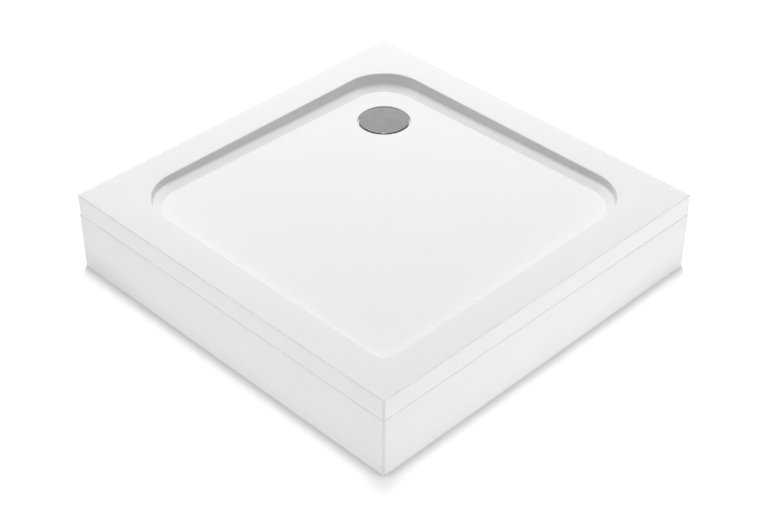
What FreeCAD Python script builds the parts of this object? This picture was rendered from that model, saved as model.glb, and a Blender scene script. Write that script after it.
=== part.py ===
"""Square low-profile shower tray on a riser kit, with a corner waste.

The tray is a plastic skin over a cast resin core. It stands on five screw-adjustable
legs. Two clip-on panels close the sides that face the room. A trapped waste under a domed
cover drains the corner between the two walls. Sizes are in millimetres.

Frame: the origin is on the floor under the tray's centre, +Z is up. The walls of the room
are on the -X and +Y sides, and the panels are on the -Y side (left) and +X side (right).
"""

import FreeCAD
import Part
import math
import os

V = FreeCAD.Vector

# ---- tray ----
tray_side = 900.0           # outside length of each side
tray_height = 48.0          # rim's top to the tray's underside
overall_height = 185.0      # rim's top above the floor
skin = 3.0                  # thickness of the plastic skin
rim_width = 78.0            # outer side to the basin's edge
corner_radius = 3.5         # tray's upright corners
edge_radius = 2.5           # rim's outer and inner edges
basin_corner_radius = 104.0  # basin's edge at the left, right and back corners
basin_front_radius = 30.0   # basin's edge at the corner that faces the room
wall_draft = 12.0           # degrees that the basin's wall leans from upright
slope_up_wall = 12.3        # the inclined band at the wall's foot, up the wall
slope_on_floor = 15.4       # and across the floor
slope_edge_radius = 4.0     # rounding where the band meets the wall and the floor
basin_depth = 26.5          # rim's top to the floor at the tray's centre
floor_fall = 0.0155         # fall of the floor along X and along Y, towards the waste

# ---- waste ----
waste_inset = 212.0         # each wall side to the waste's centre
waste_hole_radius = 45.0
recess_radius = 59.0        # flat seat round the waste, in the tray's floor
recess_depth = 7.0
recess_edge_radius = 2.0
gasket_thickness = 1.5
gasket_width = 8.0
flange_radius = 55.0
flange_thickness = 2.5
flange_edge_chamfer = 1.0
collar_wall = 2.0           # collar under the flange, inside the tray's hole
collar_clearance = 0.5
throat_radius = 31.0        # bore that takes the insert
throat_wall = 3.0
throat_length = 14.0        # below the flange
flange_screw_circle = 39.5  # radius that the flange screws stand on
flange_screw_radius = 2.5
flange_screw_grip = 13.5    # screw's length inside the trap
flange_screw_head_radius = 4.5
flange_screw_head_height = 2.2
flange_screw_count = 4

# ---- trap ----
cup_radius = 50.0
cup_wall = 2.5
cup_flange_radius = 57.0
cup_flange_thickness = 5.0
cup_bottom_chamfer = 6.0
screw_boss_radius = 4.6
screw_boss_web = 3.0
seal_depth = 50.0           # depth of the trap's water seal
tube_floor_gap = 10.0       # below the dip tube
pipe_radius = 20.0          # waste pipe, outside
pipe_clearance = 0.2
pipe_socket_depth = 26.0
pipe_bore_radius = 17.5
spigot_radius = 24.0
spigot_length = 40.0        # beyond the cup's side
outlet_nut_radius = 28.0
outlet_nut_length = 24.0
outlet_nut_end_wall = 3.0
outlet_nut_ribs = 16
outlet_rib_radius = 1.5
outlet_nut_clearance = 2.0  # under the tray
outlet_seal_length = 6.0
outlet_washer_thickness = 1.5

# ---- lift-out parts of the waste ----
insert_rim_radius = 34.0
insert_rim_thickness = 1.5
tube_radius = 27.0          # dip tube, outside
tube_wall = 2.0
o_ring_wire_radius = 1.5
strainer_radius = 26.4
strainer_thickness = 2.0
strainer_hub_radius = 8.0
strainer_hub_depth = 12.0
strainer_slots = 8
strainer_slot_width = 5.0
strainer_rib_gap = 2.0      # hub and outer edge to the slots
cover_radius = 56.0
cover_thickness = 1.6
cover_crown = 3.0           # rise of the dome from its edge to its middle
cover_gap = 3.4             # way in for the water, under the cover's edge
cover_edge_radius = 0.5
plug_radius = 13.0
plug_pin_radius = 4.0
plug_pin_length = 9.0

# ---- legs ----
leg_inset = 62.0            # outer side to a corner leg's axis
plate_side = 70.0
plate_thickness = 4.0
plate_corner_radius = 8.0
boss_radius = 11.0
boss_length = 36.0
gusset_height = 16.0
gusset_thickness = 4.0
gusset_reach = 14.0         # beyond the boss
leg_screw_offset = 27.0     # from the leg's axis, along X and along Y
leg_screw_radius = 2.4
leg_screw_length = 16.0
leg_screw_head_radius = 4.5
leg_screw_head_height = 2.6
pilot_spare = 2.0           # hole past the screw's end
stud_radius = 6.0           # M12 thread
stud_top_gap = 10.0         # tray's underside to the stud's top end
stud_chamfer = 1.2
stud_clearance = 0.1        # in the boss and in the lock nut, on the radius
hex_flats = 19.0
hex_height = 9.0
hex_gap = 2.0               # foot's top to the stud's hexagon
lock_nut_height = 7.0
foot_radius = 27.5
foot_edge_height = 4.0      # upright edge of the foot
foot_height = 16.0
foot_neck_radius = 11.0
foot_web = 2.2              # between the sole and the stud's end
sole_radius = 24.0
sole_thickness = 3.0
sole_stand_out = 1.0        # below the foot
stud_end_radius = 5.0       # button on the stud's lower end, held in the foot
stud_end_height = 3.7
stud_neck_radius = 4.0

# ---- riser panels ----
panel_thickness = 8.0
panel_seam = 1.0            # between a panel's top and the tray
panel_floor_gap = 0.5
panel_wall = 2.0            # hollow panel's skins and webs
panel_chambers = 4
hex_to_clip = 15.0          # stud's hexagon to the left panel's clips, in the lower rail
clip_to_nut = 6.0           # right panel's clips, in the upper rail, to the lock nut
rail_slot_height = 12.4
rail_slot_depth = 3.2
rail_wall = 2.0
rail_lip = 1.8
rail_lip_thickness = 1.6
rail_corner_gap = 40.0      # rails end before the room-side corner
end_cap_thickness = 2.0
end_cap_plug = 10.0
trim_radius = 4.0           # rounded bead at the room-side corner
trim_web = 1.2
trim_tongue = 24.0
trim_tongue_thickness = 2.0
clip_base_length = 28.0
clip_base_thickness = 2.8
clip_arm_height = 8.0
clip_wall = 3.2             # beside the stud
clip_window_wall = 5.0      # before and behind the window in the clip's arm
clip_grip = 6.0             # fork's tips, past the stud's axis

# ---- clearances ----
fit_gap = 0.2               # between parts that are pushed together
free_gap = 0.3              # between parts that move past each other

# ---- places worked out from the sizes above ----
half = tray_side / 2
top = overall_height
underside = top - tray_height
waste_x = -half + waste_inset
waste_y = half - waste_inset
leg_place = half - leg_inset
legs = {
    "front": (leg_place, -leg_place),
    "left": (-leg_place, -leg_place),
    "right": (leg_place, leg_place),
    "back": (-leg_place, leg_place),
    "centre": (0.0, 0.0),
}
floor_at_waste = top - basin_depth - floor_fall * (waste_y - waste_x)
seat = floor_at_waste - recess_depth
flange_bottom = seat + gasket_thickness
flange_top = flange_bottom + flange_thickness
cup_top = underside - gasket_thickness
cup_flange_bottom = cup_top - cup_flange_thickness
flange_screw_tip = cup_top - flange_screw_grip
spigot_axis = underside - outlet_nut_clearance - outlet_rib_radius - outlet_nut_radius
spigot_end = waste_y + cup_radius + spigot_length
tube_bottom = spigot_axis - pipe_bore_radius - seal_depth
cup_floor = tube_bottom - tube_floor_gap
boss_bottom = underside - plate_thickness - boss_length
stud_top = underside - stud_top_gap
hex_bottom = foot_height + hex_gap
stud_end_bottom = sole_thickness + foot_web + free_gap
lower_rail = hex_bottom + hex_height + hex_to_clip + clip_arm_height / 2
upper_rail = boss_bottom - lock_nut_height - clip_to_nut - clip_arm_height / 2
panel_top = underside - panel_seam
panel_back = half - panel_thickness
trim_edge = half - trim_radius


# ---- small helpers ----
def box(x0, x1, y0, y1, z0, z1):
    return Part.makeBox(x1 - x0, y1 - y0, z1 - z0, V(x0, y0, z0))


def disc(x, y, z0, z1, radius):
    return Part.makeCylinder(radius, z1 - z0, V(x, y, z0))


def ring(x, y, z0, z1, outer, inner):
    return disc(x, y, z0, z1, outer).cut(disc(x, y, z0, z1, inner))


def turned(x, y, outline):
    """Solid of revolution about the upright through x, y, from (radius, height) points."""
    points = [V(x + r, y, z) for r, z in outline]
    face = Part.Face(Part.makePolygon(points + points[:1]))
    return face.revolve(V(x, y, 0), V(0, 0, 1), 360)


def prism(points, z0, z1):
    """Upright prism on a flat outline of (x, y) points."""
    corners = [V(x, y, z0) for x, y in points]
    return Part.Face(Part.makePolygon(corners + corners[:1])).extrude(V(0, 0, z1 - z0))


def hexagon(x, y, z0, z1, flats):
    corner = flats / 2 / math.cos(math.radians(30))
    return prism(around(6, corner, x, y), z0, z1)


def around(count, radius, x, y, start=0.0):
    """Points evenly spaced on a circle."""
    angles = [math.radians(start + 360.0 * k / count) for k in range(count)]
    return [(x + radius * math.cos(a), y + radius * math.sin(a)) for a in angles]


def joined(shapes):
    return shapes[0].multiFuse(shapes[1:]).removeSplitter()


def rounded_square(inset, radii, z):
    """Wire of a square inside the tray's outline. radii: front, right, back, left."""
    edge = half - inset
    corners = [(1, -1), (1, 1), (-1, 1), (-1, -1)]
    arcs = []
    starts = []
    ends = []
    for (sx, sy), radius in zip(corners, radii):
        centre = V(sx * (edge - radius), sy * (edge - radius), z)
        first = math.atan2(sy, sx) - math.pi / 4
        turns = [first + t for t in (0.0, math.pi / 4, math.pi / 2)]
        at = [centre + V(radius * math.cos(a), radius * math.sin(a), 0) for a in turns]
        arcs.append(Part.Arc(*at).toShape())
        starts.append(at[0])
        ends.append(at[2])
    lines = [Part.makeLine(ends[k], starts[(k + 1) % 4]) for k in range(4)]
    return Part.Wire([e for pair in zip(arcs, lines) for e in pair])


def export(name, shape):
    shape.exportStep(os.path.join("parts", name + ".step"))


# ---- tray ----
def floor_height(x, y):
    """Height of the basin's floor, which falls towards the waste's corner."""
    return top - basin_depth - floor_fall * (y - x)


def knee_edges(space, grow, rise):
    """Edges where the inclined band at the foot of the walls meets the walls."""
    edges = []
    for edge in space.Edges:
        place = edge.CenterOfMass
        height = place.z + grow - floor_height(place.x, place.y)
        if abs(height - rise) < 0.15 * rise:
            edges.append(edge)
    return edges


def basin_space(grow):
    """The space inside the basin, made larger all round by grow."""
    lean = math.tan(math.radians(wall_draft))
    shift = grow / math.cos(math.radians(wall_draft))
    wires = []
    for height in (edge_radius + skin, -tray_height):
        inset = rim_width - shift - height * lean
        large = basin_corner_radius + shift + height * lean
        small = basin_front_radius + shift + height * lean
        wires.append(rounded_square(inset, [small, large, large, large], top + height))
    walls = Part.makeLoft(wires, True, True)
    corners = []
    for x, y in ((half, -half), (half, half), (-half, half), (-half, -half)):
        corners.append(V(x, y, floor_height(x, y) - grow))
    floor = Part.Face(Part.makePolygon(corners + corners[:1]))
    space = walls.common(floor.extrude(V(0, 0, 2 * tray_height)))
    lowest = min(space.Faces, key=lambda f: f.CenterOfMass.z)
    full_turn = math.radians(90 - wall_draft)
    lower_turn = math.atan2(slope_up_wall * math.sin(full_turn),
                            slope_on_floor + slope_up_wall * math.cos(full_turn))
    upper_turn = full_turn - lower_turn
    corner_grow = grow * math.tan(full_turn / 2)
    up_wall = slope_up_wall + corner_grow - grow * math.tan(upper_turn / 2)
    on_floor = slope_on_floor + corner_grow - grow * math.tan(lower_turn / 2)
    space = space.makeChamfer(up_wall, on_floor, lowest.Edges)
    wide = [f for f in space.Faces if f.Area > half ** 2]
    lowest = min(wide, key=lambda f: f.CenterOfMass.z)
    space = space.makeFillet(slope_edge_radius + grow, lowest.Edges)
    knees = knee_edges(space, grow, up_wall * math.cos(math.radians(wall_draft)))
    return space.makeFillet(slope_edge_radius + grow, knees)


def tray_form(inwards):
    """The tray's outer form, drawn inwards by a wall thickness."""
    corner = max(corner_radius - inwards, 0.5)
    form = Part.Face(rounded_square(inwards, [corner] * 4, underside))
    form = form.extrude(V(0, 0, tray_height - inwards))
    form = form.cut(basin_space(inwards))
    return form.cut(disc(waste_x, waste_y, seat - inwards, top, recess_radius + inwards))


def soften(form):
    """Round the rim's edges and the edge of the seat round the waste."""
    rim = [e for e in form.Edges if e.BoundBox.ZMin > top - 0.01]
    form = form.makeFillet(edge_radius, rim)
    lip = []
    for edge in form.Edges:
        box_ = edge.BoundBox
        near = abs(box_.XMax - box_.XMin - 2 * recess_radius) < 0.5 and box_.ZMin > seat + 0.5
        if near:
            lip.append(edge)
    return form.makeFillet(recess_edge_radius, lip)


def leg_screw_places():
    signs = [(sx, sy) for sx in (-1, 1) for sy in (-1, 1)]
    places = []
    for x, y in legs.values():
        places += [(x + sx * leg_screw_offset, y + sy * leg_screw_offset) for sx, sy in signs]
    return places


def build_tray():
    core = tray_form(skin)
    shell = soften(tray_form(0)).cut(core)
    hole = disc(waste_x, waste_y, underside - 1.0, top, waste_hole_radius)
    pilot_top = underside + leg_screw_length - plate_thickness + pilot_spare
    pilot_radius = leg_screw_radius + fit_gap / 2
    pilots = [disc(x, y, underside - 1.0, pilot_top, pilot_radius) for x, y in leg_screw_places()]
    export("tray_shell", shell.cut(hole))
    export("resin_core", core.cut([hole] + pilots))


# ---- waste ----
def flange_screw_places():
    return around(flange_screw_count, flange_screw_circle, waste_x, waste_y, 45)


def flange_screw(x, y):
    """Countersunk screw that pulls the trap up against the tray."""
    r = flange_screw_radius
    return turned(x, y, [(0, flange_screw_tip), (r, flange_screw_tip),
                         (r, flange_top - flange_screw_head_height),
                         (flange_screw_head_radius, flange_top), (0, flange_top)])


def flange_screw_hole(x, y):
    r = flange_screw_radius + fit_gap
    head = flange_screw_head_radius + fit_gap
    low = flange_bottom - throat_length
    return turned(x, y, [(0, low), (r, low), (r, flange_top - flange_screw_head_height),
                         (head, flange_top), (head, top), (0, top)])


def build_flange():
    """Ring that clamps the tray from above, with the throat that takes the insert."""
    collar = waste_hole_radius - collar_clearance
    collar_bottom = (seat + underside) / 2
    throat_bottom = flange_bottom - throat_length
    throat_outer = throat_radius + throat_wall
    ledge = insert_rim_radius + free_gap
    ledge_height = flange_top - insert_rim_thickness
    body = turned(waste_x, waste_y, [
        (throat_radius, throat_bottom), (throat_outer, throat_bottom),
        (throat_outer, flange_bottom), (collar - collar_wall, flange_bottom),
        (collar - collar_wall, collar_bottom), (collar, collar_bottom),
        (collar, flange_bottom), (flange_radius, flange_bottom),
        (flange_radius, flange_top - flange_edge_chamfer),
        (flange_radius - flange_edge_chamfer, flange_top), (ledge, flange_top),
        (ledge, ledge_height), (throat_radius, ledge_height)])
    holes = [flange_screw_hole(x, y) for x, y in flange_screw_places()]
    screws = [flange_screw(x, y) for x, y in flange_screw_places()]
    export("waste_flange", body.cut(holes))
    export("flange_screws", Part.makeCompound(screws))


def build_gaskets():
    for name, z, outer in (("upper_gasket", seat, flange_radius), ("lower_gasket", cup_top, cup_flange_radius)):
        edge = outer - collar_clearance
        export(name, ring(waste_x, waste_y, z, z + gasket_thickness, edge, edge - gasket_width))


def along_outlet(start, length, radius):
    return Part.makeCylinder(radius, length, V(waste_x, start, spigot_axis), V(0, 1, 0))


def build_trap():
    """Cup under the tray, and the outlet tube welded into its side."""
    inside = cup_radius - cup_wall
    outer_bottom = cup_floor - cup_wall
    cup = turned(waste_x, waste_y, [
        (0, outer_bottom), (cup_radius - cup_bottom_chamfer, outer_bottom),
        (cup_radius, outer_bottom + cup_bottom_chamfer), (cup_radius, cup_flange_bottom),
        (cup_flange_radius, cup_flange_bottom), (cup_flange_radius, cup_top), (0, cup_top)])
    space = turned(waste_x, waste_y, [
        (0, cup_floor), (inside - cup_bottom_chamfer, cup_floor),
        (inside, cup_floor + cup_bottom_chamfer), (inside, cup_top), (0, cup_top)])
    reach = spigot_end - waste_y
    socket_start = spigot_end - pipe_socket_depth
    socket = along_outlet(socket_start, pipe_socket_depth, pipe_radius + pipe_clearance)
    outlet = along_outlet(waste_y, reach, spigot_radius)
    outlet = outlet.cut([space, along_outlet(waste_y, reach, pipe_bore_radius), socket])
    pieces = [cup.cut([space, along_outlet(waste_y, reach, spigot_radius + fit_gap / 2)])]
    screw_end = flange_screw_tip - free_gap
    boss_low = screw_end - screw_boss_web
    pilots = []
    for k, (x, y) in enumerate(flange_screw_places()):
        pieces.append(disc(x, y, boss_low, cup_top, screw_boss_radius))
        web = box(flange_screw_circle, inside + cup_wall / 2, -screw_boss_web / 2, screw_boss_web / 2,
                  boss_low, cup_top)
        web.rotate(V(0, 0, 0), V(0, 0, 1), 45 + 360.0 * k / flange_screw_count)
        web.translate(V(waste_x, waste_y, 0))
        pieces.append(web)
        pilots.append(disc(x, y, screw_end, cup_top, flange_screw_radius + fit_gap / 2))
    export("trap_body", joined(pieces).cut(pilots))
    export("trap_outlet", outlet)


def build_outlet():
    """Hand nut, washer and seal that grip the waste pipe in the trap's outlet."""
    pipe_hole = pipe_radius + pipe_clearance
    washer_start = spigot_end + outlet_seal_length
    nut_end = washer_start + outlet_washer_thickness + outlet_nut_end_wall
    nut_start = nut_end - outlet_nut_length
    seal = along_outlet(spigot_end, outlet_seal_length, spigot_radius - fit_gap)
    washer = along_outlet(washer_start, outlet_washer_thickness, spigot_radius)
    nut = along_outlet(nut_start, outlet_nut_length, outlet_nut_radius)
    thread = along_outlet(nut_start, outlet_nut_length - outlet_nut_end_wall, spigot_radius + fit_gap)
    mouth = along_outlet(spigot_end, nut_end - spigot_end, pipe_hole)
    pieces = [nut]
    for x, z in around(outlet_nut_ribs, outlet_nut_radius, waste_x, spigot_axis):
        at = V(x, nut_start + outlet_rib_radius, z)
        length = outlet_nut_length - 2 * outlet_rib_radius
        pieces.append(Part.makeCylinder(outlet_rib_radius, length, at, V(0, 1, 0)))
    export("outlet_seal", seal.cut(mouth))
    export("outlet_washer", washer.cut(mouth))
    export("outlet_nut", joined(pieces).cut([thread, mouth]))


def build_insert():
    """Lift-out dip tube with its O-ring, and the strainer that catches hair."""
    inner = tube_radius - tube_wall
    body = throat_radius - 2 * free_gap
    groove_middle = flange_bottom - throat_length / 2
    groove_bottom = body - 2 * o_ring_wire_radius
    low = groove_middle - o_ring_wire_radius - fit_gap
    high = groove_middle + o_ring_wire_radius + fit_gap
    shoulder = low - tube_wall
    rim_bottom = flange_top - insert_rim_thickness + free_gap
    ledge = strainer_radius + fit_gap
    ledge_height = flange_top - strainer_thickness
    tube = turned(waste_x, waste_y, [
        (inner, tube_bottom), (tube_radius, tube_bottom), (tube_radius, shoulder), (body, shoulder),
        (body, low), (groove_bottom, low), (groove_bottom, high), (body, high), (body, rim_bottom),
        (insert_rim_radius, rim_bottom), (insert_rim_radius, flange_top), (ledge, flange_top),
        (ledge, ledge_height), (inner, ledge_height)])
    o_ring_radius = groove_bottom + o_ring_wire_radius + fit_gap / 2
    o_ring = Part.makeTorus(o_ring_radius, o_ring_wire_radius, V(waste_x, waste_y, groove_middle))
    plate = disc(waste_x, waste_y, ledge_height, flange_top, strainer_radius)
    hub_bottom = flange_top - strainer_hub_depth
    hub = disc(waste_x, waste_y, hub_bottom, flange_top, strainer_hub_radius)
    cuts = [disc(waste_x, waste_y, flange_top - plug_pin_length - free_gap, flange_top,
                 plug_pin_radius + free_gap)]
    for k in range(strainer_slots):
        slot = box(strainer_hub_radius + strainer_rib_gap, inner - strainer_rib_gap,
                   -strainer_slot_width / 2, strainer_slot_width / 2, ledge_height, flange_top)
        slot.rotate(V(0, 0, 0), V(0, 0, 1), 360.0 * k / strainer_slots)
        slot.translate(V(waste_x, waste_y, 0))
        cuts.append(slot)
    export("trap_insert", tube)
    export("insert_o_ring", o_ring)
    export("hair_strainer", plate.fuse(hub).cut(cuts))


def build_cover():
    """Domed cover, and the plug under it that stands in the strainer."""
    edge_bottom = flange_top + cover_gap
    edge_top = edge_bottom + cover_thickness
    crown = edge_top + cover_crown
    dome = (cover_radius ** 2 + cover_crown ** 2) / (2 * cover_crown)
    outer = Part.makeSphere(dome, V(waste_x, waste_y, crown - dome))
    inner = Part.makeSphere(dome - cover_thickness, V(waste_x, waste_y, crown - dome))
    cover = disc(waste_x, waste_y, flange_top, crown, cover_radius).common(outer).cut(inner)
    edge = [e for e in cover.Edges if e.BoundBox.XLength > cover_radius and e.BoundBox.ZMin > edge_top - 0.5]
    plug = disc(waste_x, waste_y, flange_top + free_gap, crown, plug_radius).common(inner)
    pin = disc(waste_x, waste_y, flange_top - plug_pin_length, flange_top + free_gap, plug_pin_radius)
    export("waste_cover", cover.makeFillet(cover_edge_radius, edge))
    export("cover_plug", plug.fuse(pin).removeSplitter())


# ---- legs ----
def leg_bracket(x, y):
    """Plate under the tray with the boss that the stud screws into."""
    low = underside - plate_thickness
    plate = box(x - plate_side / 2, x + plate_side / 2, y - plate_side / 2, y + plate_side / 2,
                low, underside)
    upright = [e for e in plate.Edges if e.BoundBox.ZLength > plate_thickness / 2]
    pieces = [plate.makeFillet(plate_corner_radius, upright), disc(x, y, boss_bottom, low, boss_radius)]
    reach = boss_radius + gusset_reach
    root = boss_radius - gusset_thickness / 2
    outline = [V(root, 0, low), V(reach, 0, low), V(root, 0, low - gusset_height)]
    for k in range(4):
        gusset = Part.Face(Part.makePolygon(outline + outline[:1])).extrude(V(0, gusset_thickness, 0))
        gusset.translate(V(0, -gusset_thickness / 2, 0))
        gusset.rotate(V(0, 0, 0), V(0, 0, 1), 90.0 * k)
        gusset.translate(V(x, y, 0))
        pieces.append(gusset)
    cuts = [disc(x, y, boss_bottom, underside, stud_radius + stud_clearance)]
    for sx in (-1, 1):
        for sy in (-1, 1):
            cuts.append(disc(x + sx * leg_screw_offset, y + sy * leg_screw_offset, low, underside,
                             leg_screw_radius + fit_gap))
    return joined(pieces).cut(cuts)


def leg_stud(x, y):
    """M12 stud with a hexagon for the spanner and a button end held in the foot."""
    button_top = stud_end_bottom + stud_end_height
    tip = stud_radius - stud_chamfer
    stud = turned(x, y, [
        (0, stud_end_bottom), (stud_end_radius, stud_end_bottom), (stud_end_radius, button_top),
        (stud_neck_radius, button_top), (stud_neck_radius, hex_bottom), (stud_radius, hex_bottom),
        (stud_radius, stud_top - stud_chamfer), (tip, stud_top), (0, stud_top)])
    return stud.fuse(hexagon(x, y, hex_bottom, hex_bottom + hex_height, hex_flats))


def foot(x, y):
    """Wide plastic foot, snapped over the stud's end, with a recess for the sole."""
    seat_height = sole_thickness + foot_web
    socket = stud_end_radius + free_gap
    socket_top = stud_end_bottom + stud_end_height + free_gap
    neck = stud_neck_radius + free_gap
    recess = sole_radius + fit_gap
    low = sole_stand_out
    return turned(x, y, [
        (0, sole_thickness), (recess, sole_thickness), (recess, low), (foot_radius, low),
        (foot_radius, low + foot_edge_height), (foot_neck_radius, foot_height), (neck, foot_height),
        (neck, socket_top), (socket, socket_top), (socket, seat_height), (0, seat_height)])


def leg_screw(x, y):
    low = underside - plate_thickness
    shank = disc(x, y, low, low + leg_screw_length, leg_screw_radius)
    return shank.fuse(disc(x, y, low - leg_screw_head_height, low, leg_screw_head_radius))


def build_legs():
    for name, (x, y) in legs.items():
        nut = hexagon(x, y, boss_bottom - lock_nut_height, boss_bottom, hex_flats)
        thread = disc(x, y, boss_bottom - lock_nut_height, boss_bottom, stud_radius + stud_clearance)
        export("leg_bracket_" + name, leg_bracket(x, y))
        export("lock_nut_" + name, nut.cut(thread))
        export("leg_stud_" + name, leg_stud(x, y))
        export("foot_" + name, foot(x, y))
        export("foot_sole_" + name, disc(x, y, 0, sole_thickness, sole_radius))
    screws = [leg_screw(x, y) for x, y in leg_screw_places()]
    export("leg_screws", Part.makeCompound(screws))


# ---- riser panels ----
# Both panels are drawn lying along the -Y side and then turned to their own side.
def chamber_heights():
    """Lower and upper limits of the hollow panel's chambers."""
    pitch = (panel_top - panel_floor_gap - panel_wall) / panel_chambers
    lows = [panel_floor_gap + panel_wall + k * pitch for k in range(panel_chambers)]
    return [(low, low + pitch - panel_wall) for low in lows]


def rail(start, end, middle):
    """Undercut rail on the panel's back, for the clips."""
    low = middle - rail_slot_height / 2
    high = middle + rail_slot_height / 2
    back = -panel_back
    depth = rail_slot_depth + rail_lip_thickness
    outer = box(start, end, back, back + depth, low - rail_wall, high + rail_wall)
    slot = box(start, end, back, back + rail_slot_depth, low, high)
    mouth = box(start, end, back, back + depth, low + rail_lip, high - rail_lip)
    return outer.cut([slot, mouth])


def panel():
    """Hollow panel, square at its wall end and mitred at the room-side corner."""
    start = -half + end_cap_thickness
    mitre = (trim_web / 2 + fit_gap) * math.sqrt(2)
    corner = trim_edge - fit_gap
    outline = [(start, -half), (corner, -half), (corner, -corner - mitre),
               (panel_back - mitre, -panel_back), (start, -panel_back)]
    body = prism(outline, panel_floor_gap, panel_top)
    chambers = [box(start, half, -half + panel_wall, -panel_back - panel_wall, low, high)
                for low, high in chamber_heights()]
    rails = [rail(start, half - rail_corner_gap, z) for z in (lower_rail, upper_rail)]
    return joined([body.cut(chambers)] + rails)


def end_cap():
    """Cap on the panel's wall end, with plugs that push into the chambers."""
    start = -half
    joint = start + end_cap_thickness
    pieces = [box(start, joint, -half, -panel_back, panel_floor_gap, panel_top)]
    for low, high in chamber_heights():
        pieces.append(box(joint, joint + end_cap_plug, -half + panel_wall + fit_gap,
                          -panel_back - panel_wall - fit_gap, low + fit_gap, high - fit_gap))
    return joined(pieces)


def clip(leg_x, middle):
    """Fork that slides in the panel's rail and grips a leg's stud."""
    grip = stud_radius + free_gap
    width = grip + clip_wall
    base = -panel_back + fit_gap
    joint = base + clip_base_thickness
    leg_y = -leg_place
    low = middle - clip_arm_height / 2
    high = middle + clip_arm_height / 2
    tall = rail_slot_height / 2 - fit_gap
    pieces = [box(leg_x - clip_base_length / 2, leg_x + clip_base_length / 2, base, joint,
                  middle - tall, middle + tall),
              box(leg_x - width, leg_x + width, joint, leg_y + clip_grip, low, high)]
    cuts = [disc(leg_x, leg_y, low, high, grip),
            box(leg_x - grip, leg_x + grip, leg_y, leg_y + clip_grip, low, high),
            box(leg_x - grip, leg_x + grip, joint + clip_window_wall, leg_y - grip - clip_window_wall,
                low, high)]
    return joined(pieces).cut(cuts)


def corner_trim():
    """Rounded bead at the room-side corner, with a web and two tongues behind the panels."""
    low = panel_floor_gap
    corner = box(trim_edge, half, -half, -trim_edge, low, panel_top)
    bead = corner.common(disc(trim_edge, -trim_edge, low, panel_top, trim_radius))
    near = panel_back - fit_gap
    far = near - trim_tongue_thickness
    end = near - trim_tongue
    angle = prism([(near, -near), (near, -end), (far, -end), (far, -far), (end, -far), (end, -near)],
                  low, panel_top)
    side = trim_web / math.sqrt(2)
    outer = trim_edge + trim_radius / 2
    inner = (near + far) / 2
    web = prism([(outer, side - outer), (inner, side - inner), (inner, -side - inner),
                 (outer, -side - outer)], low, panel_top)
    return joined([bead, angle, web])


def turned_right(shape):
    """Mirror a piece of the left panel to the same place on the right panel."""
    return shape.mirror(V(0, 0, 0), V(1, 1, 0))


def build_panels():
    clip_legs = (("wall", -leg_place), ("corner", leg_place))
    export("left_panel", panel())
    export("right_panel", turned_right(panel()))
    export("left_panel_end_cap", end_cap())
    export("right_panel_end_cap", turned_right(end_cap()))
    for place, x in clip_legs:
        export("left_panel_clip_" + place, clip(x, lower_rail))
        export("right_panel_clip_" + place, turned_right(clip(x, upper_rail)))
    export("corner_trim", corner_trim())


os.makedirs("parts", exist_ok=True)
build_tray()
build_flange()
build_gaskets()
build_trap()
build_outlet()
build_insert()
build_cover()
build_legs()
build_panels()
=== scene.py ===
"""Dresses the shower tray: finishes, softened edges, threads, light and camera. Metres, +Z up."""

import math

import bmesh
import bpy
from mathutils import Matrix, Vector

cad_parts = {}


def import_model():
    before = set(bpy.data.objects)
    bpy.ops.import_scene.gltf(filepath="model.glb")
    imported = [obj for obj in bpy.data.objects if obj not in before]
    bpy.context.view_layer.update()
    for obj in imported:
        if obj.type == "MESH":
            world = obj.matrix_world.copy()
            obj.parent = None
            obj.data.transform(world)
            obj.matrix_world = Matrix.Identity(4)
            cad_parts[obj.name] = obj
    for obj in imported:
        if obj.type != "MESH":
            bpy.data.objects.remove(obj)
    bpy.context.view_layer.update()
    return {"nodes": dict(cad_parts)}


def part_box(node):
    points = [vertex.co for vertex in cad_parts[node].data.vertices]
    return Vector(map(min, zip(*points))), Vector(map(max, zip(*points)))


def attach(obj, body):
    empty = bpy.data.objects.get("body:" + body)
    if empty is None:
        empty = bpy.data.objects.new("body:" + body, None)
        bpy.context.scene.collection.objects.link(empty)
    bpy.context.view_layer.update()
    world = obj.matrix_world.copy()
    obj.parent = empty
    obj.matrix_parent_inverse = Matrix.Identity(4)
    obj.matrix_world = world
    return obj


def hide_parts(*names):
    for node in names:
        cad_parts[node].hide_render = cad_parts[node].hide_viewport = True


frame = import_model()
NODES = frame["nodes"]
LEGS = ("front", "left", "right", "back", "centre")

# ---- sizes read from the frame ----
shell_low, shell_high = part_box("tray_shell")
HALF = shell_high.x
TOP = shell_high.z
UNDERSIDE = shell_low.z
seat_low, seat_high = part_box("upper_gasket")
WASTE = Vector(((seat_low.x + seat_high.x) / 2, (seat_low.y + seat_high.y) / 2, 0.0))
SEAT = seat_low.z

# ---- sizes of the basin, as in the part ----
RIM = 0.078
CORNER = 0.0035
EDGE = 0.0025
BASIN_RADIUS = 0.104
FRONT_RADIUS = 0.030
DRAFT = math.radians(12)
SLOPE_UP_WALL = 0.0123
SLOPE_ON_FLOOR = 0.0154
SLOPE_EDGE = 0.004
BASIN_DEPTH = 0.0265
FALL = 0.0155
SKIN = 0.003
RECESS = 0.059
RECESS_EDGE = 0.002
HOLE = 0.045
CRISP = 0.0003              # rounding of the skin's hidden inner edges
SMALLEST_CORNER = 0.0005
ARC_STEPS = 5               # of the rim's and the recess's edges
TURN_STEPS = 6              # of the basin's edge and of the band at its foot


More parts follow.
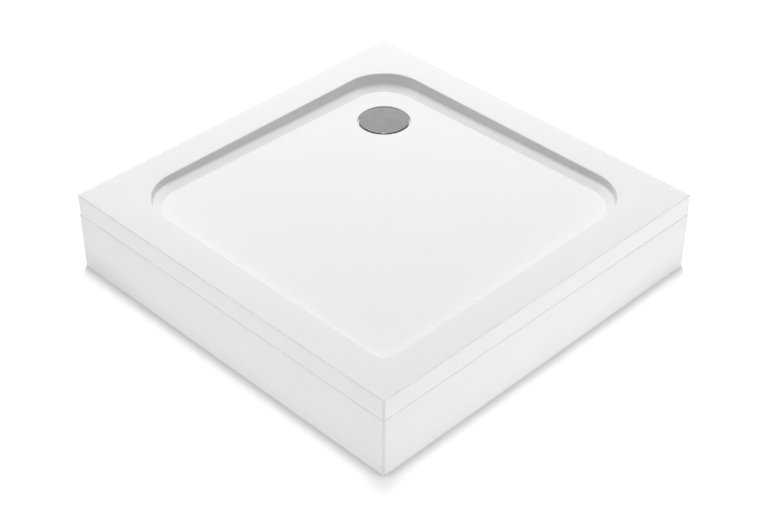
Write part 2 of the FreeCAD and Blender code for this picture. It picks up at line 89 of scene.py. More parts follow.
# ---- node materials ----
CLOUD_SCALE, GLOSS_SCALE = 6.0, 25.0    # slow changes of a plastic's colour and gloss
STONE_GRAINS, STONE_PORES, STONE_RELIEF = 450.0, 220.0, 0.0006
STONE_ROUGHNESS = 0.75
PAINTED_EDGE_SHADE = 0.84            # painted shade: the skin's edge against its flat colour
SHADE_OUTWARDS = (1.2, 0.5)  # where the edge's painted shade starts and is full, in edge radii from the side
SHADE_UPWARDS = (1.3, 0.8)   # the same, in edge radii below the rim
SHADE_CORNER = (1.7, 0.5)    # the same, in corner radii from both sides
COVER_EDGE_SHADE = 0.42           # painted shade: the cover's upright edge against its dome
COVER_UPRIGHT = (0.45, 0.97)  # upward share of the normal: edge, dome


def new_material(name, color, rough, metallic=0.0):
    mat = bpy.data.materials.new(name)
    mat.use_nodes = True
    shader = mat.node_tree.nodes["Principled BSDF"]
    shader.inputs["Base Color"].default_value = (*color, 1)
    shader.inputs["Roughness"].default_value = rough
    shader.inputs["Metallic"].default_value = metallic
    return mat, shader


def add(mat, kind):
    return mat.node_tree.nodes.new(kind)


def link(mat, start, end):
    mat.node_tree.links.new(start, end)


def noise(mat, scale, detail=2.0):
    """Noise in the object's own coordinates, so that it stays on the piece."""
    place = add(mat, "ShaderNodeTexCoord")
    texture = add(mat, "ShaderNodeTexNoise")
    texture.inputs["Scale"].default_value = scale
    texture.inputs["Detail"].default_value = detail
    link(mat, place.outputs["Object"], texture.inputs["Vector"])
    return texture.outputs["Fac"]


def ramp(mat, value, low, high, start=0.3, end=0.7):
    """Colour between low and high, as value goes from start to end."""
    node = add(mat, "ShaderNodeValToRGB")
    node.color_ramp.elements[0].position = start
    node.color_ramp.elements[1].position = end
    node.color_ramp.elements[0].color = (*low, 1)
    node.color_ramp.elements[1].color = (*high, 1)
    link(mat, value, node.inputs["Fac"])
    return node.outputs["Color"]


def bump(mat, shader, value, distance):
    node = add(mat, "ShaderNodeBump")
    node.inputs["Strength"].default_value = 1.0
    node.inputs["Distance"].default_value = distance
    link(mat, value, node.inputs["Height"])
    link(mat, node.outputs["Normal"], shader.inputs["Normal"])


def rough_range(mat, shader, value, low, high):
    node = add(mat, "ShaderNodeMapRange")
    node.inputs["To Min"].default_value = low
    node.inputs["To Max"].default_value = high
    link(mat, value, node.inputs["Value"])
    link(mat, node.outputs["Result"], shader.inputs["Roughness"])


def shade(color, factor):
    return tuple(c * factor for c in color)


def plastic(name, color, rough, grain, grain_height, vary=0.03):
    """Moulded or formed plastic: faint mottling, uneven gloss and a fine surface grain."""
    mat, shader = new_material(name, color, rough)
    cloud = noise(mat, CLOUD_SCALE, 3.0)
    link(mat, ramp(mat, cloud, shade(color, 1 - vary), color), shader.inputs["Base Color"])
    rough_range(mat, shader, noise(mat, GLOSS_SCALE), rough * 0.85, rough * 1.15)
    bump(mat, shader, noise(mat, grain, 4.0), grain_height)
    return mat


def metal(name, color, rough, grain, grain_height):
    """Metal or plating with faint clouds in its colour, gloss and surface."""
    mat, shader = new_material(name, color, rough, 1.0)
    clouds = noise(mat, grain, 3.0)
    link(mat, ramp(mat, clouds, shade(color, 0.9), color), shader.inputs["Base Color"])
    rough_range(mat, shader, clouds, rough * 0.8, rough * 1.25)
    bump(mat, shader, clouds, grain_height)
    return mat


def math_node(mat, operation, first, second=None):
    node = add(mat, "ShaderNodeMath")
    node.operation = operation
    link(mat, first, node.inputs[0])
    if second is not None:
        link(mat, second, node.inputs[1])
    return node.outputs["Value"]


def eased(mat, value, start, end, low=0.0, high=1.0):
    """low up to start, high from end on, with a soft step between."""
    node = add(mat, "ShaderNodeMapRange")
    node.interpolation_type = "SMOOTHSTEP"
    levels = {"From Min": start, "From Max": end, "To Min": low, "To Max": high}
    for socket, level in levels.items():
        node.inputs[socket].default_value = level
    link(mat, value, node.inputs["Value"])
    return node.outputs["Result"]


def toned(mat, tone):
    """Scale the colour that the shader already gets by tone."""
    socket = mat.node_tree.nodes["Principled BSDF"].inputs["Base Color"]
    color = socket.links[0].from_socket
    scale = add(mat, "ShaderNodeVectorMath")
    scale.operation = "SCALE"
    link(mat, color, scale.inputs[0])
    link(mat, tone, scale.inputs["Scale"])
    link(mat, scale.outputs["Vector"], socket)


def skin_edge_painted_shade(mat):
    """Painted shade: a little greyer over the skin's outer edge and upright corners."""
    place = add(mat, "ShaderNodeTexCoord")
    axes = add(mat, "ShaderNodeSeparateXYZ")
    link(mat, place.outputs["Object"], axes.inputs["Vector"])
    across = [math_node(mat, "ABSOLUTE", axes.outputs[axis]) for axis in ("X", "Y")]
    outer, high, corner = (
        eased(mat, value, whole - radius * start, whole - radius * end)
        for value, whole, radius, (start, end) in (
            (math_node(mat, "MAXIMUM", *across), HALF, EDGE, SHADE_OUTWARDS),
            (axes.outputs["Z"], TOP, EDGE, SHADE_UPWARDS),
            (math_node(mat, "MINIMUM", *across), HALF, CORNER, SHADE_CORNER)))
    painted_shade = math_node(mat, "MAXIMUM", math_node(mat, "MULTIPLY", outer, high), corner)
    toned(mat, eased(mat, painted_shade, 0.0, 1.0, 1.0, PAINTED_EDGE_SHADE))


def cover_edge_painted_shade(mat):
    """Painted shade: the chrome is coloured darker on the cover's upright edge."""
    geometry = add(mat, "ShaderNodeNewGeometry")
    axes = add(mat, "ShaderNodeSeparateXYZ")
    link(mat, geometry.outputs["Normal"], axes.inputs["Vector"])
    toned(mat, eased(mat, axes.outputs["Z"], *COVER_UPRIGHT, COVER_EDGE_SHADE, 1.0))


def stone(name, color):
    """Cast resin full of mineral grains, with a rough surface."""
    mat, shader = new_material(name, color, STONE_ROUGHNESS)
    grains = add(mat, "ShaderNodeTexVoronoi")
    grains.inputs["Scale"].default_value = STONE_GRAINS
    place = add(mat, "ShaderNodeTexCoord")
    link(mat, place.outputs["Object"], grains.inputs["Vector"])
    tint = ramp(mat, grains.outputs["Color"], shade(color, 0.72), shade(color, 1.12), 0.1, 0.9)
    link(mat, tint, shader.inputs["Base Color"])
    bump(mat, shader, noise(mat, STONE_PORES, 6.0), STONE_RELIEF)
    return mat


SKIN_WHITE = (0.87, 0.87, 0.865)
# painted shade: the corner trim is the panels' white made a shade darker
TRIM_PAINTED_SHADE_WHITE = shade(SKIN_WHITE, 0.9)
MATERIALS = {
    "tray_skin": plastic("gloss acrylic", SKIN_WHITE, 0.22, 90.0, 0.00002, 0.008),
    "panel": plastic("gloss panel", SKIN_WHITE, 0.30, 60.0, 0.00002, 0.008),
    "trim": plastic("gloss trim", TRIM_PAINTED_SHADE_WHITE, 0.30, 60.0, 0.00002, 0.008),
    "cast_resin": stone("cast resin", (0.60, 0.58, 0.53)),
    "chrome": metal("polished chrome", (0.36, 0.365, 0.35), 0.12, 40.0, 0.00001),
    "white_pipe": plastic("moulded white", (0.78, 0.78, 0.75), 0.42, 400.0, 0.00008),
    "grey_plastic": plastic("moulded grey", (0.33, 0.34, 0.35), 0.40, 500.0, 0.00008),
    "black_nylon": plastic("glass-filled nylon", (0.035, 0.035, 0.037), 0.48, 700.0, 0.0001, 0.3),
    "rubber": plastic("rubber", (0.03, 0.03, 0.03), 0.7, 600.0, 0.0001, 0.3),
    "zinc": metal("zinc plate", (0.62, 0.63, 0.66), 0.34, 120.0, 0.00003),
    "stainless": metal("stainless", (0.58, 0.57, 0.55), 0.28, 300.0, 0.00002),
}
# painted shade over the skin's outer edge and upright corners
skin_edge_painted_shade(MATERIALS["tray_skin"])
# painted shade on the chrome of the cover's upright edge
cover_edge_painted_shade(MATERIALS["chrome"])


# ---- mesh helpers ----
SAME_POINT = 1e-6
FLAT = math.radians(0.5)
SHARP = 30                  # degrees between faces, from which an edge is rounded
THREAD_SHARP = 28
SKIN_SHARP = 35
ROUNDING_SEGMENTS = 2


def new_object(name, verts, faces):
    mesh = bpy.data.meshes.new(name)
    mesh.from_pydata([tuple(v) for v in verts], [], faces)
    mesh.update()
    obj = bpy.data.objects.new(name, mesh)
    bpy.context.scene.collection.objects.link(obj)
    return obj


def surface(name, loops, closed=False):
    """Mesh over a stack of loops with equal counts, closed on itself or capped at both ends."""
    count = len(loops[0])
    verts = [v for loop in loops for v in loop]
    faces = []
    for k in range(len(loops) if closed else len(loops) - 1):
        a, b = k * count, (k + 1) % len(loops) * count
        for i in range(count):
            j = (i + 1) % count
            faces.append((a + i, a + j, b + j, b + i))
    if not closed:
        faces.append(tuple(reversed(range(count))))
        faces.append(tuple(range(len(verts) - count, len(verts))))
    return new_object(name, verts, faces)


def merged(name, parts):
    """One object from several, each given with the place that it is moved to."""
    verts, faces = [], []
    for obj, place in parts:
        start = len(verts)
        verts += [v.co + place for v in obj.data.vertices]
        faces += [tuple(start + i for i in face.vertices) for face in obj.data.polygons]
    for obj in {obj.name: obj for obj, place in parts}.values():
        bpy.data.objects.remove(obj)
    return new_object(name, verts, faces)


def smooth(obj, angle):
    obj.data.shade_smooth()
    obj.data.set_sharp_from_angle(angle=math.radians(angle))


def dress(obj, node, body, material):
    """Put a finished piece in the place of its CAD node."""
    obj.data.materials.clear()
    obj.data.materials.append(MATERIALS[material])
    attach(obj, body)
    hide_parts(node)


def apply_modifiers(obj):
    bpy.context.view_layer.update()
    graph = bpy.context.evaluated_depsgraph_get()
    mesh = bpy.data.meshes.new_from_object(obj.evaluated_get(graph))
    obj.modifiers.clear()
    obj.data = mesh


def softened(node, width):
    """The CAD node's shape as a clean mesh, with its sharp edges rounded."""
    bm = bmesh.new()
    bm.from_mesh(NODES[node].data)
    bmesh.ops.remove_doubles(bm, verts=bm.verts, dist=SAME_POINT)
    bmesh.ops.dissolve_limit(bm, angle_limit=FLAT, verts=bm.verts, edges=bm.edges)
    mesh = bpy.data.meshes.new(node + "_soft")
    bm.to_mesh(mesh)
    bm.free()
    obj = bpy.data.objects.new(node + "_soft", mesh)
    bpy.context.scene.collection.objects.link(obj)
    rounding = obj.modifiers.new("edges", "BEVEL")
    rounding.width = width
    rounding.segments = ROUNDING_SEGMENTS
    rounding.limit_method = "ANGLE"
    rounding.angle_limit = math.radians(SHARP)
    rounding.use_clamp_overlap = True
    rounding.harden_normals = False
    apply_modifiers(obj)
    smooth(obj, SHARP)
    return obj


# ---- the tray's skin ----
def perimeter(inset, radii, per_corner=24, per_side=40):
    """Points round a rounded square, each with its outward direction.

    radii: front, right, back, left.
    """
    edge = HALF - inset
    corners = ((1, -1), (1, 1), (-1, 1), (-1, -1))
    places = []
    for k in range(4):
        (sx, sy), radius = corners[k], radii[k]
        first = math.atan2(sy, sx) - math.pi / 4
        centre = Vector((sx * (edge - radius), sy * (edge - radius), 0))
        for i in range(per_corner + 1):
            a = first + math.pi / 2 * i / per_corner
            out = Vector((math.cos(a), math.sin(a), 0))
            places.append((centre + out * radius, out))
        (nx, ny), following = corners[(k + 1) % 4], radii[(k + 1) % 4]
        start = places[-1][0]
        out = places[-1][1]
        end = Vector((nx * (edge - following), ny * (edge - following), 0)) + out * following
        for i in range(1, per_side):
            places.append((start.lerp(end, i / per_side), out))
    return places


def floor_z(p):
    return TOP - BASIN_DEPTH - FALL * (p.y - p.x)


def rounded_turn(corner, before, after, radius):
    """Points on the arc that rounds a profile's left turn from one direction to the next."""
    turn = before.angle(after)
    reach = radius * math.tan(turn / 2)
    left = Vector((-before.y, before.x))
    centre = corner - before * reach + left * radius
    points = []
    for i in range(TURN_STEPS + 1):
        a = turn * i / TURN_STEPS
        back = Vector((left.x * math.cos(a) - left.y * math.sin(a),
                       left.x * math.sin(a) + left.y * math.cos(a)))
        points.append(centre - back * radius)
    return points


def basin_profile(point, out, grow):
    """(inward distance, height) down the wall and its inclined foot, at one place on the edge."""
    lean = math.tan(DRAFT)
    slope = FALL * (out.x - out.y)
    drop = TOP - floor_z(point) + grow
    shift = grow / math.cos(DRAFT)
    depth = (drop - slope * shift) / (1 - slope * lean)
    meet = Vector((depth * lean - shift, -depth))
    wall = Vector((math.sin(DRAFT), -math.cos(DRAFT)))
    floor_ahead = Vector((1, -slope)).normalized()
    full_turn = math.pi / 2 - DRAFT
    lower_turn = math.atan2(SLOPE_UP_WALL * math.sin(full_turn),
                            SLOPE_ON_FLOOR + SLOPE_UP_WALL * math.cos(full_turn))
    corner_grow = grow * math.tan(full_turn / 2)
    up_wall = SLOPE_UP_WALL + corner_grow - grow * math.tan((full_turn - lower_turn) / 2)
    on_floor = SLOPE_ON_FLOOR + corner_grow - grow * math.tan(lower_turn / 2)
    knee = meet - wall * up_wall
    foot = meet + floor_ahead * on_floor
    band = (foot - knee).normalized()
    knee_arc = rounded_turn(knee, wall, band, SLOPE_EDGE + grow)
    foot_arc = rounded_turn(foot, band, floor_ahead, SLOPE_EDGE + grow)
    lip = EDGE if grow == 0 else CRISP
    lip_reach = lip * math.tan(full_turn / 2)
    lip_centre = Vector((grow * lean - shift - lip_reach, -grow - lip))
    points = []
    for i in range(TURN_STEPS + 1):
        a = full_turn * i / TURN_STEPS
        points.append(lip_centre + Vector((math.sin(a), math.cos(a))) * lip)
    wall_top = points[-1]
    for i in range(1, 4):
        points.append(wall_top.lerp(knee_arc[0], i / 4))
    points += knee_arc
    for i in range(1, 3):
        points.append(knee_arc[-1].lerp(foot_arc[0], i / 3))
    return points + foot_arc


def skin_loops(grow):
    """Closed loops over the basin and waste recess, from the rim's flat to the waste's hole."""
    radii = (FRONT_RADIUS, BASIN_RADIUS, BASIN_RADIUS, BASIN_RADIUS)
    places = perimeter(RIM, radii)
    profiles = [basin_profile(p, out, grow) for p, out in places]
    loops = []
    for k in range(len(profiles[0])):
        loop = []
        for (p, out), profile in zip(places, profiles):
            inward, height = profile[k]
            loop.append(Vector((p.x - out.x * inward, p.y - out.y * inward, TOP + height)))
        loops.append(loop)
    radius = RECESS + grow
    edge = RECESS_EDGE if grow == 0 else CRISP
    foot = loops[-1]
    angles = [math.atan2(v.y - WASTE.y, v.x - WASTE.x) for v in foot]

    def circle(r, height):
        points = [Vector((WASTE.x + r * math.cos(a), WASTE.y + r * math.sin(a), 0)) for a in angles]
        for v in points:
            v.z = height(v)
        return points

    start = circle(radius + edge, lambda v: floor_z(v) - grow)
    for t in (0.15, 0.35, 0.6, 0.85):
        loops.append([a.lerp(b, t) for a, b in zip(foot, start)])
    loops.append(start)
    for i in range(1, ARC_STEPS + 1):
        a = math.pi / 2 * i / ARC_STEPS
        r = radius + edge * (1 - math.sin(a))
        loops.append(circle(r, lambda v, a=a: floor_z(v) - grow - edge * (1 - math.cos(a))))
    loops.append(circle(radius, lambda v: SEAT - grow))
    loops.append(circle(HOLE, lambda v: SEAT - grow))
    return loops


def apron_loops(inset):
    """Loops up the tray's outer side to the rim's flat. Each lines up with the basin's."""
    corner = max(CORNER - inset, SMALLEST_CORNER)
    outer = perimeter(inset, (corner,) * 4)
    loops = []
    top = TOP - inset
    edge = EDGE if inset == 0 else CRISP
    heights = [(0.0, UNDERSIDE), (0.0, top - edge)]
    for i in range(1, ARC_STEPS + 1):
        a = math.pi / 2 * i / ARC_STEPS
        heights.append((edge * (1 - math.cos(a)), top - edge * (1 - math.sin(a))))
    for inward, z in heights:
        loops.append([Vector((p.x - out.x * inward, p.y - out.y * inward, z)) for p, out in outer])
    return loops


def tray_skin():
    outside = apron_loops(0.0) + skin_loops(0.0)
    inside = apron_loops(SKIN) + skin_loops(SKIN)
    obj = surface("tray_skin", outside + inside[::-1], closed=True)
    smooth(obj, SKIN_SHARP)
    dress(obj, "tray_shell", "tray", "tray_skin")


tray_skin()

# ---- threaded pieces and screws ----
STUD_CREST, STUD_ROOT, STUD_PITCH = 0.006, 0.00495, 0.00175
STUD_CHAMFER = 0.0012
BUTTON, BUTTON_HEIGHT, NECK, BUTTON_EDGE = 0.005, 0.0037, 0.004, 0.0004
HEX_GAP, HEX_HEIGHT, HEX_HALF, HEX_CHAMFER = 0.002, 0.009, 0.0095, 0.00085
NUT_BORE, NUT_BORE_EDGE = 0.0061, 0.0008
LEG_SCREW_OFFSET, LEG_SCREW_PLATE = 0.027, 0.004
LEG_SCREW_HEAD, LEG_SCREW_SHANK, LEG_SCREW_PITCH = 0.0045, 0.0024, 0.0014
FLANGE_SCREW_CIRCLE, FLANGE_SCREW_COUNT = 0.0395, 4
FLANGE_SCREW_HEAD, FLANGE_SCREW_HEIGHT = 0.0045, 0.0022
FLANGE_SCREW_SHANK, FLANGE_SCREW_PITCH = 0.0025, 0.0008
SCREW_SIDES, SCREW_THREAD_STEPS = 24, 16
RECESS_ARM = 0.00045        # half the width of the cross for the driver
LEG_SCREW_RECESS, FLANGE_SCREW_RECESS = (0.0017, 0.0011), (0.0019, 0.0012)  # its reach and depth
THREAD_ROOT, THREAD_TIP = 0.44, 0.07  # half widths of a thread's ridge, in pitches


def ring(z, radius, count=48):
    """Level loop round the origin. radius is a length, or a function of the angle."""
    loop = []
    for i in range(count):
        a = 2 * math.pi * i / count
        r = radius(a) if callable(radius) else radius
        loop.append(Vector((r * math.cos(a), r * math.sin(a), z)))
    return loop


def hexagon_rings(low, high):
    """Loops up a hexagon whose corners are turned off at both ends."""
    loops = []
    for t in (0.0, 0.34, 0.67, 1.0):
        limit = HEX_HALF * 0.97 + HEX_CHAMFER * t / math.tan(math.radians(30))

        def outline(a, limit=limit):
            return min(limit, HEX_HALF / math.cos(a % (math.pi / 3) - math.pi / 6))
        loops.append((HEX_CHAMFER * t, outline))
    upwards = [ring(low + inset, outline) for inset, outline in loops]
    return upwards + [ring(high - inset, outline) for inset, outline in loops[::-1]]


def thread(low, high, root, crest, pitch, steps=24):
    """Right-handed ridge round the origin, which fades in and out at its ends."""
    sunk = root - (crest - root) * 0.2
    count = int(((high - low) / pitch - 0.9) * steps)
    loops = []
    for k in range(count + 1):
        a = 2 * math.pi * k / steps
        z = low + pitch * (0.45 + k / steps)
        fade = max(min(1.0, k / (steps / 2), (count - k) / (steps / 2)), 0.05)
        peak = sunk + (crest - sunk) * fade
        section = ((sunk, -THREAD_ROOT), (peak, -THREAD_TIP),
                   (peak, THREAD_TIP), (sunk, THREAD_ROOT))
        loops.append([Vector((r * math.cos(a), r * math.sin(a), z + pitch * t))
                      for r, t in section])
    return surface("thread", loops)


def centre_of(node):
    low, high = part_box(node)
    return Vector(((low.x + high.x) / 2, (low.y + high.y) / 2, 0))


def leg_stud(leg):
    low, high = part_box("leg_stud_" + leg)
    hex_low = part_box("foot_" + leg)[1].z + HEX_GAP
    hex_high = hex_low + HEX_HEIGHT
    button_top = low.z + BUTTON_HEIGHT
    loops = [ring(low.z, BUTTON - BUTTON_EDGE), ring(low.z + BUTTON_EDGE, BUTTON),
             ring(button_top - BUTTON_EDGE, BUTTON), ring(button_top, BUTTON - BUTTON_EDGE),
             ring(button_top, NECK), ring(hex_low, NECK)]
    loops += hexagon_rings(hex_low, hex_high)
    loops += [ring(hex_high, STUD_ROOT), ring(high.z - STUD_CHAMFER, STUD_ROOT),
              ring(high.z, STUD_CREST - STUD_CHAMFER)]
    ridge = thread(hex_high, high.z - STUD_CHAMFER, STUD_ROOT, STUD_CREST, STUD_PITCH)
    place = centre_of("leg_stud_" + leg)
    obj = merged("stud_" + leg, [(surface("rod", loops), place), (ridge, place)])
    smooth(obj, THREAD_SHARP)
    dress(obj, "leg_stud_" + leg, "stud_" + leg, "zinc")


def lock_nut(leg):
    low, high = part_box("lock_nut_" + leg)
    loops = hexagon_rings(low.z, high.z)
    loops += [ring(high.z, NUT_BORE + NUT_BORE_EDGE), ring(high.z - NUT_BORE_EDGE, NUT_BORE),
              ring(low.z + NUT_BORE_EDGE, NUT_BORE), ring(low.z, NUT_BORE + NUT_BORE_EDGE)]
    nut = surface("nut", loops, closed=True)
    obj = merged("nut_" + leg, [(nut, centre_of("lock_nut_" + leg))])
    smooth(obj, THREAD_SHARP)
    dress(obj, "lock_nut_" + leg, "tray", "zinc")


def cross_recess(obj, end, reach, depth):
    """Cut a cross for the driver into the screw's end at height end."""
    for size_x, size_y in ((reach, RECESS_ARM), (RECESS_ARM, reach)):
        bpy.ops.mesh.primitive_cube_add(size=1, location=(0, 0, end))
        cutter = bpy.context.object
        cutter.scale = (2 * size_x, 2 * size_y, 2 * depth)
        cut = obj.modifiers.new("recess", "BOOLEAN")
        cut.operation = "DIFFERENCE"
        cut.solver = "EXACT"
        cut.object = cutter
        apply_modifiers(obj)
        bpy.data.objects.remove(cutter)


def leg_screws():
    """Pan-head screws that hold the brackets, driven upwards."""
    low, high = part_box("leg_screws")
    under = UNDERSIDE - LEG_SCREW_PLATE
    head, shank = LEG_SCREW_HEAD, LEG_SCREW_SHANK
    root = shank * 0.78
    rise = under - low.z
    outline = ((low.z, head * 0.45), (low.z + rise * 0.1, head * 0.72),
               (low.z + rise * 0.35, head * 0.93), (low.z + rise * 0.65, head),
               (under, head), (under, root), (high.z - 0.003, root), (high.z, shank * 0.2))
    body = surface("screw", [ring(z, radius, SCREW_SIDES) for z, radius in outline])
    cross_recess(body, low.z, *LEG_SCREW_RECESS)
    ridge = thread(under + 0.001, high.z - 0.002, root, shank, LEG_SCREW_PITCH, SCREW_THREAD_STEPS)
    parts = []
    for leg in LEGS:
        middle = centre_of("leg_stud_" + leg)
        for sx in (-1, 1):
            for sy in (-1, 1):
                place = middle + Vector((sx, sy, 0)) * LEG_SCREW_OFFSET
                parts += [(body, place), (ridge, place)]
    obj = merged("leg_screw_set", parts)
    smooth(obj, THREAD_SHARP)
    dress(obj, "leg_screws", "tray", "stainless")


def flange_screws():
    """Countersunk screws in the waste's flange."""
    low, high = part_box("flange_screws")
    head, shank = FLANGE_SCREW_HEAD, FLANGE_SCREW_SHANK
    root = shank * 0.8
    head_low = high.z - FLANGE_SCREW_HEIGHT
    outline = ((low.z, shank * 0.5), (low.z + 0.001, root), (head_low, root), (head_low, shank),
               (high.z - 0.0002, head), (high.z, head - 0.0002))
    body = surface("screw", [ring(z, radius, SCREW_SIDES) for z, radius in outline])
    cross_recess(body, high.z, *FLANGE_SCREW_RECESS)
    ridge = thread(low.z + 0.0005, head_low, root, shank, FLANGE_SCREW_PITCH, SCREW_THREAD_STEPS)
    parts = []
    for k in range(FLANGE_SCREW_COUNT):
        a = math.pi / 4 + 2 * math.pi * k / FLANGE_SCREW_COUNT
        place = WASTE + Vector((math.cos(a), math.sin(a), 0)) * FLANGE_SCREW_CIRCLE
        parts += [(body, place), (ridge, place)]
    obj = merged("flange_screw_set", parts)
    smooth(obj, THREAD_SHARP)
    dress(obj, "flange_screws", "tray", "stainless")


for leg in LEGS:
    leg_stud(leg)
    lock_nut(leg)
leg_screws()
flange_screws()


# ---- pieces whose CAD shape only needs softer edges ----
SOFTENED = {
    "left_panel": ("left_panel", "panel_plastic", "panel", 0.0006),
    "right_panel": ("right_panel", "panel_plastic", "panel", 0.0006),
    "left_panel_end_cap": ("left_panel", "cap_plastic", "panel", 0.0005),
    "right_panel_end_cap": ("right_panel", "cap_plastic", "panel", 0.0005),
    "corner_trim": ("right_panel", "trim_plastic", "trim", 0.0003),
    "waste_cover": ("waste_cover", "polished_chrome", "chrome", 0.0002),
    "trap_body": ("tray", "waste_plastic", "white_pipe", 0.0008),
    "trap_outlet": ("tray", "waste_plastic", "white_pipe", 0.0005),
    "outlet_nut": ("tray", "nut_plastic", "white_pipe", 0.0005),
    "waste_flange": ("tray", "waste_plastic", "white_pipe", 0.0003),
    "trap_insert": ("trap_insert", "waste_plastic", "white_pipe", 0.0003),
    "hair_strainer": ("trap_insert", "strainer_plastic", "grey_plastic", 0.0003),
    "cover_plug": ("waste_cover", "strainer_plastic", "grey_plastic", 0.0004),
}
for side in ("left", "right"):
    for place in ("wall", "corner"):
        clip = f"{side}_panel_clip_{place}"
        SOFTENED[clip] = (side + "_panel", "clip_plastic", "grey_plastic", 0.0006)
for leg in LEGS:
    SOFTENED["leg_bracket_" + leg] = ("tray", "leg_plastic", "black_nylon", 0.0007)
    SOFTENED["foot_" + leg] = ("foot_" + leg, "leg_plastic", "black_nylon", 0.0007)
    SOFTENED["foot_sole_" + leg] = ("foot_" + leg, "foot_rubber", "rubber", 0.0004)
for node, (body, slot, material, width) in SOFTENED.items():
    dress(softened(node, width), node, body, material)

# ---- pieces that keep their CAD mesh ----
KEPT = {
    "resin_core": "cast_resin",
    "upper_gasket": "rubber",
    "lower_gasket": "rubber",
    "outlet_seal": "rubber",
    "insert_o_ring": "rubber",
    "outlet_washer": "white_pipe",
}
for node, material in KEPT.items():
    NODES[node].data.materials.clear()
    NODES[node].data.materials.append(MATERIALS[material])


# ---- stage, light and camera ----
FLOOR_SIZE = 30
FLOOR_SHARED = 0.45         # the floor's colour for the light that it throws back on the object
FLOOR_WHITE = 0.92          # its colour as seen, and the glow added to that
FLOOR_GLOW = 0.50
CONTACT_REACH = 0.032       # painted shadow: the dark line on the floor round the object's foot
PAINTED_SHADOW_DARK = 0.60
CONTACT_OPEN = (0.52, 0.95)  # open share of the sky, from the line's darkest to the bare floor
CONTACT_SAMPLES = 16
AMBIENT = 0.2
FOCAL_LENGTH, SENSOR = 80.07, 36.0
CAMERA_PLACE = Vector((2.0449, -2.0449, 2.0485))  # from the middle of the rim's plane
CAMERA_TARGET = Vector((0.1479, -0.1479, 0.0))


def seen_directly(tree):
    """1 for rays from the camera, off gloss and through clear pieces, 0 for shared light."""
    path = tree.nodes.new("ShaderNodeLightPath")
    value = path.outputs["Is Camera Ray"]
    for kind in ("Is Glossy Ray", "Is Transmission Ray"):
        larger = tree.nodes.new("ShaderNodeMath")
        larger.operation = "MAXIMUM"
        tree.links.new(value, larger.inputs[0])
        tree.links.new(path.outputs[kind], larger.inputs[1])
        value = larger.outputs["Value"]
    return value


def painted_contact_shadow(tree):
    """Painted shadow: 1 on the open floor, falling off within a few centimetres of the object's
    foot.
    """
    shelter = tree.nodes.new("ShaderNodeAmbientOcclusion")
    shelter.samples = CONTACT_SAMPLES
    shelter.inputs["Distance"].default_value = CONTACT_REACH
    fall = tree.nodes.new("ShaderNodeMapRange")
    fall.interpolation_type = "SMOOTHSTEP"
    fall.inputs["From Min"].default_value = CONTACT_OPEN[0]
    fall.inputs["From Max"].default_value = CONTACT_OPEN[1]
    fall.inputs["To Min"].default_value = PAINTED_SHADOW_DARK
    fall.inputs["To Max"].default_value = 1.0
    tree.links.new(shelter.outputs["AO"], fall.inputs["Value"])
    return fall.outputs["Result"]


def floor_material():
    """Pale floor that keeps the shadow and looks white, without lighting the object more, with a
    painted shadow round the object's foot.
    """
    mat = bpy.data.materials.new("studio floor")
    mat.use_nodes = True
    tree = mat.node_tree
    tree.nodes.clear()
    out = tree.nodes.new("ShaderNodeOutputMaterial")
    plain = tree.nodes.new("ShaderNodeBsdfDiffuse")
    plain.inputs["Color"].default_value = (FLOOR_SHARED, FLOOR_SHARED, FLOOR_SHARED, 1)
    path = tree.nodes.new("ShaderNodeLightPath")
    white = tree.nodes.new("ShaderNodeBsdfDiffuse")
    glow = tree.nodes.new("ShaderNodeEmission")
    both = tree.nodes.new("ShaderNodeAddShader")
    # painted shadow on the floor near the object's foot, for the floor as seen
    painted_shadow_level = painted_contact_shadow(tree)
    for socket, level in ((white.inputs["Color"], FLOOR_WHITE),
                          (glow.inputs["Strength"], FLOOR_GLOW)):
        scaled = tree.nodes.new("ShaderNodeMath")
        scaled.operation = "MULTIPLY"
        scaled.inputs[1].default_value = level
        tree.links.new(painted_shadow_level, scaled.inputs[0])
        tree.links.new(scaled.outputs["Value"], socket)
    tree.links.new(white.outputs[0], both.inputs[0])
    tree.links.new(glow.outputs[0], both.inputs[1])
    backdrop = tree.nodes.new("ShaderNodeEmission")
    backdrop.inputs["Strength"].default_value = 1.0
    shader = plain.outputs[0]
    for ray, seen in (("Is Transmission Ray", both), ("Is Glossy Ray", backdrop),
                      ("Is Camera Ray", both)):
        mix = tree.nodes.new("ShaderNodeMixShader")
        tree.links.new(path.outputs[ray], mix.inputs["Fac"])
        tree.links.new(shader, mix.inputs[1])
        tree.links.new(seen.outputs[0], mix.inputs[2])
        shader = mix.outputs[0]
    tree.links.new(shader, out.inputs["Surface"])
    return mat


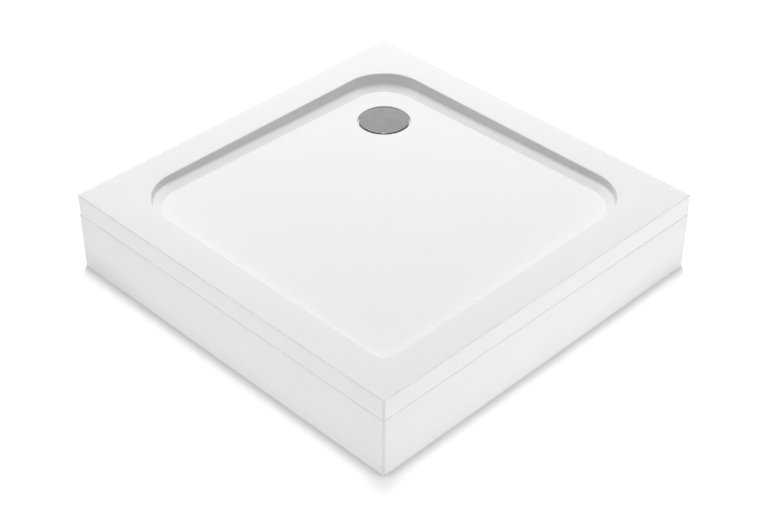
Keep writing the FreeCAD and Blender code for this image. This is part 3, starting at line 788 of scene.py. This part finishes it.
def floor():
    bpy.ops.mesh.primitive_plane_add(size=FLOOR_SIZE, location=(0, 0, 0))
    plane = bpy.context.object
    plane.name = "studio_floor"
    plane.data.materials.append(floor_material())


def world():
    """Soft ambient light. The camera, glass and gloss see a white backdrop."""
    space = bpy.data.worlds.new("studio")
    bpy.context.scene.world = space
    space.use_nodes = True
    tree = space.node_tree
    back = tree.nodes["Background"]
    back.inputs["Color"].default_value = (1, 1, 1, 1)
    strength = tree.nodes.new("ShaderNodeMapRange")
    strength.inputs["To Min"].default_value = AMBIENT
    strength.inputs["To Max"].default_value = 1.0
    tree.links.new(seen_directly(tree), strength.inputs["Value"])
    tree.links.new(strength.outputs["Result"], back.inputs["Strength"])


def lamp(name, place, target, size, watts, width=None, glossy=True):
    light = bpy.data.lights.new(name, "AREA")
    light.shape = "RECTANGLE"
    light.size = size
    light.size_y = width or size
    light.energy = watts
    obj = bpy.data.objects.new(name, light)
    bpy.context.scene.collection.objects.link(obj)
    obj.location = place
    aim = Vector(target) - Vector(place)
    obj.rotation_euler = aim.to_track_quat("-Z", "Y").to_euler()
    obj.visible_camera = False
    obj.visible_glossy = glossy


def camera():
    """The photograph's camera: above the front corner, looking down at the rim's plane."""
    lens = bpy.data.cameras.new("camera")
    lens.lens = FOCAL_LENGTH
    lens.sensor_width = SENSOR
    obj = bpy.data.objects.new("camera", lens)
    bpy.context.scene.collection.objects.link(obj)
    rim_middle = Vector((0, 0, TOP))
    obj.location = rim_middle + CAMERA_PLACE
    aim = rim_middle + CAMERA_TARGET - obj.location
    obj.rotation_euler = aim.to_track_quat("-Z", "Y").to_euler()
    bpy.context.scene.camera = obj


floor()
world()
lamp("key_behind", (-1.85, 1.85, 4.9), (0, 0, 0), 1.8, 190.0, glossy=False)
lamp("key_above", (-0.7, 0.7, 7.2), (0, 0, 0), 1.0, 115.0)
lamp("low_left", (-0.1, -2.6, 0.09), (0, -0.45, 0.09), 3.2, 34.2, width=0.16)
lamp("low_right", (2.6, 0.3, 0.09), (0.45, 0, 0.09), 3.2, 41.0, width=0.16)
camera()
bpy.context.scene.view_settings.view_transform = "Standard"
